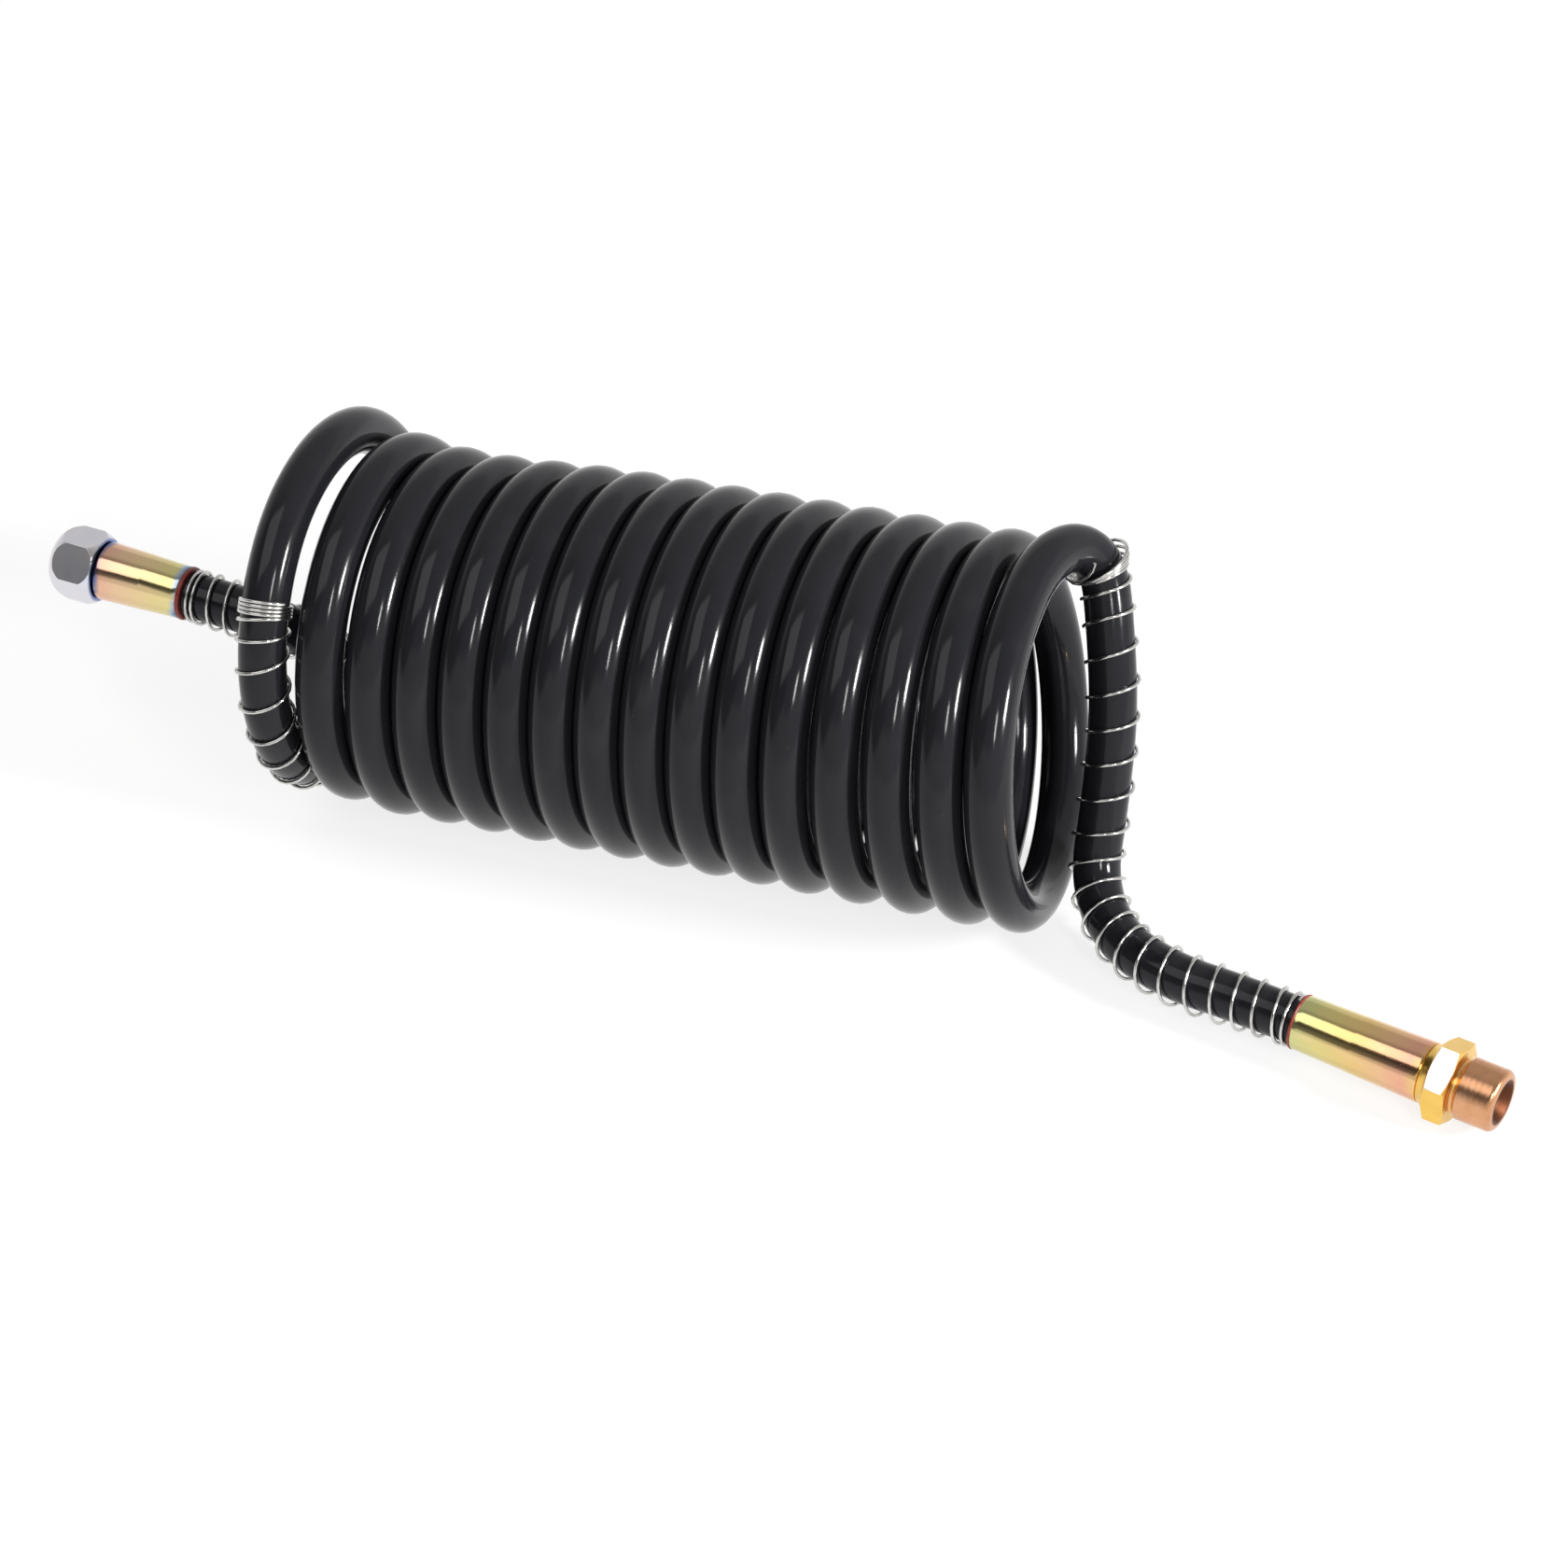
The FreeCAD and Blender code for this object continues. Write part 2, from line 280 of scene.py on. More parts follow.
def steady_frames(line):
    """Tangent, side and up at each point, turned as little as possible from one to the next."""
    tangents = []
    for index in range(len(line)):
        before = line[max(index - 1, 0)]
        after = line[min(index + 1, len(line) - 1)]
        tangents.append((after - before).normalized())
    side = tangents[0].cross(Vector((0, 0, 1))).normalized()
    frames = []
    for index, tangent in enumerate(tangents):
        if index:
            side.rotate(tangents[index - 1].rotation_difference(tangent))
        side = (side - tangent * side.dot(tangent)).normalized()
        frames.append((tangent, side.copy(), tangent.cross(side)))
    return frames


centreline = smooth_line(route)
along = distances(centreline)
frames = steady_frames(centreline)
HOSE_LENGTH = along[-1]
print("hose: %.3f m of tube in %d rings" % (HOSE_LENGTH, len(centreline)))

# %% [markdown]
# ## A tube along a line
# Two pieces are round bars along a line: the hose and the guards' wire. One function lays a ring
# of vertices at each point, joins the rings with quads, closes both ends with a fan and gives the
# skin a UV map that runs once round the bar and in metres along it, for patterns that follow it.

# %% Round bar along a line
def deselect():
    if bpy.context.object and bpy.context.object.mode != "OBJECT":
        bpy.ops.object.mode_set(mode="OBJECT")
    bpy.ops.object.select_all(action="DESELECT")


def only(obj):
    deselect()
    obj.select_set(True)
    bpy.context.view_layer.objects.active = obj
    return obj


def smooth_shaded(obj, degrees=35, flat_area=1.0):
    """Smooth the surface except at sharp edges. Faces over flat_area square metres stay flat."""
    only(obj)
    bpy.ops.object.shade_smooth_by_angle(angle=math.radians(degrees))
    for polygon in obj.data.polygons:
        if polygon.area > flat_area:
            polygon.use_smooth = False
    return obj


def bar_along(name, line, line_frames, radius, sides):
    vertices = []
    for point, (_, side, up) in zip(line, line_frames):
        for corner in range(sides):
            angle = 2 * math.pi * corner / sides
            vertices.append(point + (side * math.cos(angle) + up * math.sin(angle)) * radius)
    faces = []
    for ring in range(len(line) - 1):
        for corner in range(sides):
            after = (corner + 1) % sides
            faces.append((ring * sides + corner, ring * sides + after,
                          (ring + 1) * sides + after, (ring + 1) * sides + corner))
    for ring, turned_over in ((0, True), (len(line) - 1, False)):
        centre = len(vertices)
        vertices.append(line[ring])
        for corner in range(sides):
            pair = (ring * sides + corner, ring * sides + (corner + 1) % sides)
            faces.append((*(reversed(pair) if turned_over else pair), centre))
    mesh = bpy.data.meshes.new(name)
    mesh.from_pydata(vertices, [], faces)
    lengths = distances(line)
    layer = mesh.uv_layers.new(name="along")
    for polygon in mesh.polygons:
        corners = [mesh.loops[index].vertex_index % sides for index in polygon.loop_indices]
        seam = 0 in corners and sides - 1 in corners
        for index in polygon.loop_indices:
            vertex = mesh.loops[index].vertex_index
            if vertex >= len(line) * sides:
                layer.data[index].uv = (0.5, lengths[0])
                continue
            corner = vertex % sides
            round_part = (sides if seam and corner == 0 else corner) / sides
            layer.data[index].uv = (round_part, lengths[vertex // sides])
    obj = bpy.data.objects.new(name, mesh)
    bpy.context.collection.objects.link(obj)
    return smooth_shaded(obj, 60)


HOSE_SIDES = 24
TOUCHING = 0.07          # mm on the radius, so that neighbouring turns meet
hose = bar_along("hose", centreline, frames, (HOSE_R + TOUCHING) * MM, HOSE_SIDES)
print("hose mesh:", len(hose.data.polygons), "faces")

# %% [markdown]
# ## Weights for the coil's stretch
# The coil between the left and right bodies would open like a spring. A place is not enough for a
# helix, though: the weight would change round each turn and flatten the tube, so each ring of the
# tube gets one weight, by its distance along the hose between the two ends of the coil. The
# weights are worked out here but given to no mesh or body.

# %% Weights across the stretch
def distance_nearest(point):
    """Distance along the hose of the place on its centreline nearest to a point."""
    nearest = min(range(len(along)), key=lambda index: (centreline[index] - point).length)
    return along[nearest]


COIL_FROM = distance_nearest(from_coil(-8, 0, 96))
COIL_TO = distance_nearest(from_coil(COIL_LENGTH - 4, 8, 93))


def stretch_weight(distance):
    return min(1.0, max(0.0, (distance - COIL_FROM) / (COIL_TO - COIL_FROM)))


from_coil(0, 0, 50)
from_coil(COIL_LENGTH, 0, 50)
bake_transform(hose)
weights = [stretch_weight(distance) for distance in along for _ in range(HOSE_SIDES)]
weights += [0.0, 1.0]
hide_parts("hose_coil", "hose_tail_left", "hose_tail_right")
print("coil from %.2f m to %.2f m of the hose" % (COIL_FROM, COIL_TO))

# %% [markdown]
# ## The wire guards
# Each tail wears a spring of bright wire about a millimetre thick that keeps it from kinking. Its
# turns are open where they lie loose and it ends in a few closed turns that grip the tube. The
# wire is a second helix wound on the hose's own centreline. Where a guard lies on the floor, its
# loops hang a little below the tube, because the spring is wider than the tube.

# %% Wind a guard round the hose
WIRE_R = 0.45
WIRE_SIDES = 8
WIRE_STEPS = 22


def place_at(distance):
    """Point and frame of the centreline at a distance along it, in metres."""
    index = max(i for i in range(len(along) - 1) if along[i] <= distance)
    share = (distance - along[index]) / (along[index + 1] - along[index])
    point = centreline[index].lerp(centreline[index + 1], share)
    tangent = frames[index][0].lerp(frames[index + 1][0], share).normalized()
    side = frames[index][1].lerp(frames[index + 1][1], share)
    side = (side - tangent * side.dot(tangent)).normalized()
    return point, tangent, side, tangent.cross(side)


def guard_helix(start, direction, sections, seed):
    """Points of the wire. Each section is (length, pitch, helix radius, hang), all in mm."""
    points = []
    angle = 0.7
    position = 0.0
    for number, (length, pitch, radius, hang) in enumerate(sections):
        following = sections[min(number + 1, len(sections) - 1)]
        steps = max(2, round(length / pitch * WIRE_STEPS))
        for step in range(steps):
            share = step / steps
            blend = share * share * (3 - 2 * share) if number + 1 < len(sections) else 0.0
            here_radius = radius + (following[2] - radius) * blend
            here_hang = hang + (following[3] - hang) * blend
            drift = noise.noise(Vector((position * 0.05, seed, 0.0)))
            point, tangent, side, up = place_at(start + direction * position * MM)
            wobble = 1.0 + 0.03 * drift
            spot = point + (side * math.cos(angle) + up * math.sin(angle)) * here_radius * wobble * MM
            spot.z -= here_hang * MM
            points.append(spot)
            angle += direction * 2 * math.pi / WIRE_STEPS
            position += pitch / WIRE_STEPS * (1.0 + 0.12 * drift)
    return points


def guard(name, node, body, start, direction, sections, seed):
    line = guard_helix(start, direction, sections, seed)
    obj = bar_along(name, line, steady_frames(line), WIRE_R * MM, WIRE_SIDES)
    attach(obj, body)
    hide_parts(node)
    print("%s: %.2f m of wire, lowest %.2f mm" % (
        name, distances(line)[-1], min(point.z for point in line) / MM - WIRE_R))
    return obj


SNUG_R = HOSE_R + WIRE_R + 0.05
LEFT_GUARD_START = LEFT_HOSE_DEPTH * MM + 0.0014
RIGHT_GUARD_START = HOSE_LENGTH - RIGHT_HOSE_DEPTH * MM - 0.0010
guard_left = guard("guard_wire_left", "spring_guard_left", "left_end", LEFT_GUARD_START, 1, [
    (3.0, 1.6, SNUG_R, 0.0), (12.0, 4.6, SNUG_R + 0.3, 0.0), (30.0, 6.5, SNUG_R + 0.5, 0.3),
    (104.0, 9.6, SNUG_R + 0.25, 0.0), (8.0, 5.0, SNUG_R + 0.1, 0.0), (3.6, 0.87, SNUG_R, 0.0),
], 1.0)
guard_right = guard("guard_wire_right", "spring_guard_right", "right_end", RIGHT_GUARD_START, -1, [
    (2.5, 1.6, SNUG_R, 0.0), (16.0, 5.6, SNUG_R + 0.3, 0.0), (45.0, 6.6, SNUG_R + 0.6, 0.5),
    (22.0, 7.6, SNUG_R + 0.5, 0.3), (53.0, 9.2, SNUG_R + 0.3, 0.0), (10.5, 6.5, SNUG_R + 0.1, 0.0),
    (3.7, 0.92, SNUG_R, 0.0), (12.0, 24.0, SNUG_R + 1.8, 0.0),
], 2.0)

# %% [markdown]
# ## Turned pieces
# Ferrules, threads and bores are all lathe work: a circle drawn out along its axis, widened or
# narrowed at each step. A circle is added, and its edge ring is extruded and scaled once for each
# point of the outline. Each piece is made along X from its own ferrule's mouth and then set in
# place by moving its vertices, so that the object itself stays at the frame's origin.

# %% A lathe made of extrude and scale
def turned(name, outline, sides=64, closed=True):
    """outline is a list of (distance along X, radius) in mm. A closed outline makes a ring."""
    deselect()
    start, radius = outline[0]
    bpy.ops.mesh.primitive_circle_add(vertices=sides, radius=radius * MM, fill_type="NOTHING",
                                      location=(start * MM, 0, 0), rotation=(0, math.pi / 2, 0))
    obj = bpy.context.object
    obj.name = name
    bpy.ops.object.transform_apply(location=True, rotation=True, scale=True)
    bpy.ops.object.mode_set(mode="EDIT")
    bpy.ops.mesh.select_all(action="SELECT")
    if not closed:
        bpy.ops.mesh.edge_face_add()
        bpy.ops.mesh.select_all(action="DESELECT")
        bpy.ops.mesh.select_all(action="SELECT")
    steps = outline[1:] + (outline[:1] if closed else [])
    for along_x, ring_r in steps:
        scale = ring_r / radius
        bpy.ops.mesh.extrude_region_move(
            TRANSFORM_OT_translate={"value": ((along_x - start) * MM, 0, 0)})
        bpy.ops.transform.resize(value=(1, scale, scale), center_override=(along_x * MM, 0, 0))
        start, radius = along_x, ring_r
    bpy.ops.mesh.select_all(action="SELECT")
    bpy.ops.mesh.remove_doubles(threshold=1e-6)
    bpy.ops.mesh.normals_make_consistent(inside=False)
    bpy.ops.object.mode_set(mode="OBJECT")
    return obj


def set_in_place(obj, mouth, yaw, roll=0.0):
    """Move a piece made along X to its fitting, and leave the object at the origin."""
    turn = Matrix.Rotation(yaw, 4, "Z") @ Matrix.Rotation(math.radians(roll), 4, "X")
    obj.data.transform(Matrix.Translation(from_coil(*mouth)) @ turn)
    obj.data.update()
    return obj


def rounded_corner(centre_x, centre_r, radius, start, end, steps=5):
    """Points of a small round between two angles in degrees, for the edge of a turned outline."""
    points = []
    for step in range(steps + 1):
        angle = math.radians(start + (end - start) * step / steps)
        points.append((centre_x + radius * math.cos(angle), centre_r + radius * math.sin(angle)))
    return points


# %% [markdown]
# ## The ferrules
# A ferrule is a thin steel sleeve squeezed on to the tube. Its mouth is rolled to a soft lip, it
# widens slowly towards the fitting, and the die leaves a faint step where it stopped. An end wall
# closes it round the stem.

# %% Left and right ferrule
def ferrule(name, length, mouth, yaw, node, body):
    bore = HOSE_R + 0.06
    outline = [(0.55, bore), (0.2, bore + 0.12)]
    outline += rounded_corner(0.5, 6.5, 0.5, 200, 100)
    outline += [(1.6, 7.02), (length * 0.44, 7.3), (length * 0.455, 7.36), (length * 0.47, 7.38)]
    outline += [(length * 0.75, 7.58), (length - 0.7, 7.76)]
    outline += rounded_corner(length - 0.3, 7.46, 0.3, 80, 0)
    outline += [(length, 4.5), (length - 3.4, 4.5), (length - 3.4, bore)]
    obj = smooth_shaded(set_in_place(turned(name, outline, 72), mouth, yaw), 40)
    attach(obj, body)
    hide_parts(node)
    return obj


LEFT_FERRULE = 24.0
RIGHT_FERRULE = 34.5
ferrule_left = ferrule(
    "ferrule_sleeve_left", LEFT_FERRULE, LEFT_MOUTH, LEFT_YAW, "ferrule_left", "left_end")
ferrule_right = ferrule(
    "ferrule_sleeve_right", RIGHT_FERRULE, RIGHT_MOUTH, RIGHT_YAW, "ferrule_right", "right_end")
print("ferrules:", len(ferrule_left.data.polygons), "faces each")

# %% [markdown]
# ## The red rings
# A soft plastic ring sits in each ferrule's mouth and shows as a thin red edge.

# %% Mouth rings
def mouth_ring(name, width, mouth, yaw, node, body):
    outline = [(0.3, HOSE_R), (-width, HOSE_R), (-width, 6.9)]
    outline += [(0.1 - width, 7.05), (0.0, 7.15), (0.3, 6.9)]
    ring = smooth_shaded(set_in_place(turned(name, outline, 64), mouth, yaw), 40)
    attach(ring, body)
    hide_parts(node)
    return ring


ring_left = mouth_ring("ring_left", 0.9, LEFT_MOUTH, LEFT_YAW, "mouth_ring_left", "left_end")
ring_right = mouth_ring("ring_right", 0.5, RIGHT_MOUTH, RIGHT_YAW, "mouth_ring_right", "right_end")
print("rings:", len(ring_left.data.polygons), "faces each")

# %% [markdown]
# ## Threads
# A thread is a spiral V-groove. On a finely ringed turned piece it is made by moving each vertex in
# or out, by how far round it is and how far along: a vertex a full turn on lies one pitch further.
# The groove fades out over a turn at both ends, as a real thread does where the tool runs out.

# %% Cutting a thread
THREAD_PITCH = 1.5
RINGS_PER_PITCH = 8


def threaded_span(start, end, radius):
    count = round((end - start) / THREAD_PITCH * RINGS_PER_PITCH)
    return [(start + (end - start) * step / count, radius) for step in range(count + 1)]


def cut_thread(obj, start, end, radius, depth, outwards):
    """Shape the rings between start and end (mm along X) into a right-hand thread."""
    for vertex in obj.data.vertices:
        x = vertex.co.x / MM
        ring_r = math.hypot(vertex.co.y, vertex.co.z) / MM
        if not (start - 0.01 < x < end + 0.01) or abs(ring_r - radius) > 0.05:
            continue
        around = math.atan2(vertex.co.z, vertex.co.y) / (2 * math.pi)
        phase = (x / THREAD_PITCH - around) % 1.0
        groove = min(1.0, max(0.0, (1.0 - abs(2 * phase - 1.0)) * 1.25 - 0.12))
        fade = min(1.0, (x - start) / THREAD_PITCH, (end - x) / THREAD_PITCH)
        shift = depth * groove * max(0.0, fade)
        scale = (ring_r - shift if outwards else ring_r + shift) / ring_r
        vertex.co.y *= scale
        vertex.co.z *= scale
    obj.data.update()


# %% [markdown]
# ## Hexagons
# A spanner hexagon is a six-sided bar whose corners have been turned off at both ends, which
# leaves the curved scallops on its flats. It is made the same way: a six-sided cylinder is cut by
# a turned barrel with a Boolean, and its edges then get a fine bevel, because no machined edge is
# perfectly sharp and the bevel is what catches the light.

# %% A chamfered hexagon
FLAT_AREA = 2e-5         # square metres: only the flats and end faces are larger


def apply_modifiers(obj):
    only(obj)
    for modifier in list(obj.modifiers):
        bpy.ops.object.modifier_apply(modifier=modifier.name)
    return obj


def combine(obj, other, operation):
    modifier = obj.modifiers.new("combine", "BOOLEAN")
    modifier.operation = operation
    modifier.solver = "EXACT"
    modifier.object = other
    apply_modifiers(obj)
    bpy.data.objects.remove(other)
    return obj


def hexagon_bar(name, start, length, across_flats, barrel):
    deselect()
    bpy.ops.mesh.primitive_cylinder_add(
        vertices=6, radius=across_flats / math.sqrt(3) * MM, depth=length * MM,
        location=((start + length / 2) * MM, 0, 0), rotation=(0, math.pi / 2, 0))
    bar = bpy.context.object
    bar.name = name
    bpy.ops.object.transform_apply(location=True, rotation=True, scale=True)
    combine(bar, turned(name + "_barrel", barrel, 96, closed=False), "INTERSECT")
    bevel = bar.modifiers.new("edges", "BEVEL")
    bevel.width = 0.12 * MM
    bevel.segments = 2
    bevel.limit_method = "ANGLE"
    bevel.angle_limit = math.radians(18)
    return apply_modifiers(bar)


def capped(outline):
    """An outline closed to the axis at both ends, for a solid turned bar."""
    tiny = 0.05
    return [(outline[0][0], tiny)] + outline + [(outline[-1][0], tiny)]


# %% [markdown]
# ## The union nut
# The nut swivels on the stem, so it is its own body. Its ends are strongly domed. Inside it is a
# close hole round the stem's neck, a wider chamber for the stem's head, and the M14 thread, all cut
# in one go by a turned and threaded plug.

# %% Union nut
NUT_FROM = 24.5
NUT_TO = 37.4
NUT_THREAD_FROM = 31.5
NUT_THREAD_R = 6.19
NUT_ROLL = 7.0


def union_nut():
    barrel = capped([(NUT_FROM, 8.15), (24.9, 8.6), (25.6, 9.1), (26.6, 9.6), (27.8, 10.0),
                     (32.2, 10.0), (33.8, 9.6), (35.3, 8.95), (36.5, 8.1), (37.1, 7.5), (NUT_TO, 7.1)])
    nut = hexagon_bar("union_nut_body", NUT_FROM, NUT_TO - NUT_FROM, 17.0, barrel)
    outline = [(NUT_FROM - 1.0, 5.1), (28.2, 5.1), (28.2, 6.6), (NUT_THREAD_FROM - 0.1, 6.6)]
    outline += threaded_span(NUT_THREAD_FROM, NUT_TO - 0.8, NUT_THREAD_R)
    outline += [(NUT_TO + 0.2, NUT_THREAD_R + 1.0), (NUT_TO + 1.0, NUT_THREAD_R + 1.0)]
    plug = turned("nut_plug", capped(outline), 72, closed=False)
    cut_thread(plug, NUT_THREAD_FROM, NUT_TO - 0.8, NUT_THREAD_R, 0.75, outwards=False)
    combine(nut, plug, "DIFFERENCE")
    nut = smooth_shaded(set_in_place(nut, LEFT_MOUTH, LEFT_YAW, NUT_ROLL), 28, FLAT_AREA)
    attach(nut, "union_nut")
    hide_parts("union_nut")
    return nut


nut = union_nut()
print("union nut:", len(nut.data.polygons), "faces")

# %% [markdown]
# ## The male stud
# One turned piece carries a cone shoulder, a 19 mm hexagon, a relief neck and the M16 thread, with
# the air passage through it. The lathe makes the round part, and the hexagon is turned a little
# about the axis and joined to it. The thread is worn nearly smooth.

# %% Male stud
HEX_FROM = 37.0
HEX_TO = 43.0
STUD_THREAD_FROM = 45.0
STUD_TO = 54.5
STUD_R = 8.0
STUD_ROLL = -24.0


def male_stud():
    passage = 3.4
    outline = [(31.0, passage), (31.0, 4.4), (34.5, 4.4), (34.5, 7.4), (34.8, 7.62), (35.6, 7.9)]
    outline += [(HEX_FROM + 0.1, 9.3), (HEX_TO - 0.1, 9.3), (HEX_TO + 0.05, 7.9), (HEX_TO + 0.4, 7.2)]
    outline += [(HEX_TO + 1.0, 6.85), (STUD_THREAD_FROM - 0.9, 6.85), (STUD_THREAD_FROM - 0.4, 7.1)]
    outline += [(STUD_THREAD_FROM - 0.1, 7.6)]
    outline += threaded_span(STUD_THREAD_FROM, STUD_TO - 1.5, STUD_R)
    outline += rounded_corner(STUD_TO - 1.5, STUD_R - 1.5, 1.5, 80, 5, 7)
    outline += [(STUD_TO, 5.4), (STUD_TO - 0.3, 5.0), (STUD_TO - 2.0, 4.2), (STUD_TO - 3.0, passage)]
    stud = turned("male_stud_body", outline, 72)
    cut_thread(stud, STUD_THREAD_FROM, STUD_TO - 1.5, STUD_R, 0.012, outwards=True)
    barrel = capped([(HEX_FROM, 9.3), (HEX_FROM + 0.9, 11.2), (HEX_TO - 0.9, 11.2), (HEX_TO, 9.3)])
    hexagon = hexagon_bar("stud_hexagon", HEX_FROM, HEX_TO - HEX_FROM, 19.0, barrel)
    hole = [(HEX_FROM - 1, 6.0), (HEX_TO + 1, 6.0)]
    combine(hexagon, turned("hexagon_hole", capped(hole), 48, closed=False), "DIFFERENCE")
    hexagon.data.transform(Matrix.Rotation(math.radians(STUD_ROLL), 4, "X"))
    combine(stud, hexagon, "UNION")
    stud = smooth_shaded(set_in_place(stud, RIGHT_MOUTH, RIGHT_YAW), 28, FLAT_AREA)
    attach(stud, "right_end")
    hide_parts("male_stud")
    return stud


stud = male_stud()
print("male stud:", len(stud.data.polygons), "faces")

# %% [markdown]
# ## The pieces on the hose
# The pieces that sit on it are gathered in one list.

# %% The hose is one cord from mouth to stud
on_hose = [guard_left, guard_right, ferrule_left, ferrule_right, ring_left, ring_right, nut, stud]
on_hose += [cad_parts["stem_left"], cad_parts["sealing_washer"]]
from_coil(*LEFT_MOUTH)

# %% [markdown]
# ## Writing finishes
# Materials are node trees, and sums written in node boxes are hard to read. `Shade` wraps one
# output of a node and gives it the usual signs, so that `1 - wear * 0.3` adds the Math nodes by
# itself. `Finish` holds one material and adds every other node through one method.

# %% Shader arithmetic
class Shade:
    """One output of a node that can be added, multiplied and compared like a number."""

    def __init__(self, finish, socket):
        self.finish = finish
        self.socket = socket

    def sum_with(self, operation, first, second=0.0):
        node = self.finish.add("ShaderNodeMath", {"operation": operation}, {0: first, 1: second})
        return Shade(self.finish, node.outputs[0])

    def __add__(self, other):
        return self.sum_with("ADD", self, other)

    __radd__ = __add__

    def __sub__(self, other):
        return self.sum_with("SUBTRACT", self, other)

    def __rsub__(self, other):
        return self.sum_with("SUBTRACT", other, self)

    def __mul__(self, other):
        return self.sum_with("MULTIPLY", self, other)

    __rmul__ = __mul__

    def __pow__(self, power):
        return self.sum_with("POWER", self, power)

    def clamped(self):
        return self.sum_with("MINIMUM", self.sum_with("MAXIMUM", self, 0.0), 1.0)

    def between(self, low, high):
        """0 below low, 1 above high, smooth in between."""
        node = self.finish.add("ShaderNodeMapRange", {"interpolation_type": "SMOOTHSTEP"},
                               {"Value": self, "From Min": low, "From Max": high})
        return Shade(self.finish, node.outputs[0])


class Finish:
    """A material under construction."""

    def __init__(self, name, **fixed):
        self.material = bpy.data.materials.new(name)
        self.material.use_nodes = True
        self.nodes = self.material.node_tree.nodes
        self.surface = self.nodes["Principled BSDF"]
        self.set(**fixed)

    def fill(self, node, inputs):
        for key, value in inputs.items():
            if isinstance(value, Shade):
                self.material.node_tree.links.new(value.socket, node.inputs[key])
            else:
                node.inputs[key].default_value = value

    def add(self, kind, settings=None, inputs=None):
        node = self.nodes.new(kind)
        for key, value in (settings or {}).items():
            if key == "stops":
                self.set_stops(node.color_ramp, value)
            else:
                setattr(node, key, value)
        self.fill(node, inputs or {})
        return node

    @staticmethod
    def set_stops(ramp, stops):
        while len(ramp.elements) > 1:
            ramp.elements.remove(ramp.elements[0])
        for number, (place, colour) in enumerate(stops):
            element = ramp.elements[0] if number == 0 else ramp.elements.new(place)
            element.position = place
            element.color = (*colour, 1.0)

    def set(self, **values):
        """Set or link the shader's own sockets: Base_Color=..., Roughness=..."""
        self.fill(self.surface, {key.replace("_", " "): value for key, value in values.items()})

    def take(self, kind, output, settings=None, inputs=None):
        return Shade(self, self.add(kind, settings, inputs).outputs[output])

    def place(self):
        return self.take("ShaderNodeTexCoord", "Object")

    def along_fitting(self, mouth, yaw):
        """Object coordinates turned so that X runs along a fitting from its ferrule's mouth."""
        inputs = {"Vector": self.place(), "Location": from_coil(*mouth), "Rotation": (0, 0, yaw)}
        return self.take("ShaderNodeMapping", 0, {"vector_type": "TEXTURE"}, inputs)

    def noise(self, vector, scale, detail=3.0, roughness=0.5):
        return self.take("ShaderNodeTexNoise", 0, {}, {
            "Vector": vector, "Scale": scale, "Detail": detail, "Roughness": roughness})

    def stretched(self, vector, scale):
        return self.take("ShaderNodeMapping", 0, {}, {"Vector": vector, "Scale": scale})

    def part(self, vector, axis):
        return self.take("ShaderNodeSeparateXYZ", axis, {}, {"Vector": vector})

    def ramp(self, value, stops):
        return self.take("ShaderNodeValToRGB", 0, {"stops": stops}, {"Fac": value})

    def mix(self, share, first, second, blend="MIX"):
        node = self.add("ShaderNodeMix", {"data_type": "RGBA", "blend_type": blend})
        self.fill(node, {0: share, 6: first, 7: second})
        return Shade(self, node.outputs[2])

    def bump(self, height, distance, strength=1.0):
        self.set(Normal=self.take("ShaderNodeBump", 0, {}, {
            "Height": height, "Distance": distance, "Strength": strength}))

    def paint(self, *objects):
        for obj in objects:
            if not obj.material_slots:
                obj.data.materials.append(None)
            for slot in obj.material_slots:
                slot.material = self.material


print("finishes ready")

# %% [markdown]
# ## Black polyamide
# Extruded nylon tube is charcoal rather than black and has a hard, slightly oily gloss. The
# drawing die leaves very faint lines along it, and handling leaves dull rubbed patches and fine
# dust. The lines follow the tube, so they read its own UV map, and the patches read the place.

# %% Nylon
def nylon():
    finish = Finish("polyamide_tube", IOR=1.34, Specular_IOR_Level=0.4)
    uv = finish.take("ShaderNodeUVMap", 0, {"uv_map": "along"})
    lines = finish.noise(finish.stretched(uv, (46.0, 9.0, 1.0)), 1.0, 4.0, 0.6)
    place = finish.place()
    cloud = finish.noise(place, 24.0, 3.0, 0.55)
    dust = finish.noise(place, 900.0, 2.0, 0.7).between(0.66, 0.8)
    wear_and_painted_glint = finish.noise(finish.stretched(uv, (3.0, 60.0, 1.0)), 1.0, 3.0, 0.6).between(0.52, 0.72)
    tone = finish.ramp(cloud * 0.7 + lines * 0.3, [
        (0.3, (0.0095, 0.0097, 0.0120)), (0.55, (0.0120, 0.0122, 0.0148)),
        (0.8, (0.0150, 0.0150, 0.0175))])
    colour = finish.mix(dust * 0.12 + wear_and_painted_glint * 0.03, tone, (0.10, 0.10, 0.10, 1.0))
    finish.set(Base_Color=colour)
    finish.set(Roughness=0.11 + 0.04 * lines + 0.05 * wear_and_painted_glint + 0.1 * dust)
    finish.bump(lines * 0.8 + cloud * 0.2, 0.00003, 0.35)
    finish.paint(hose)


nylon()
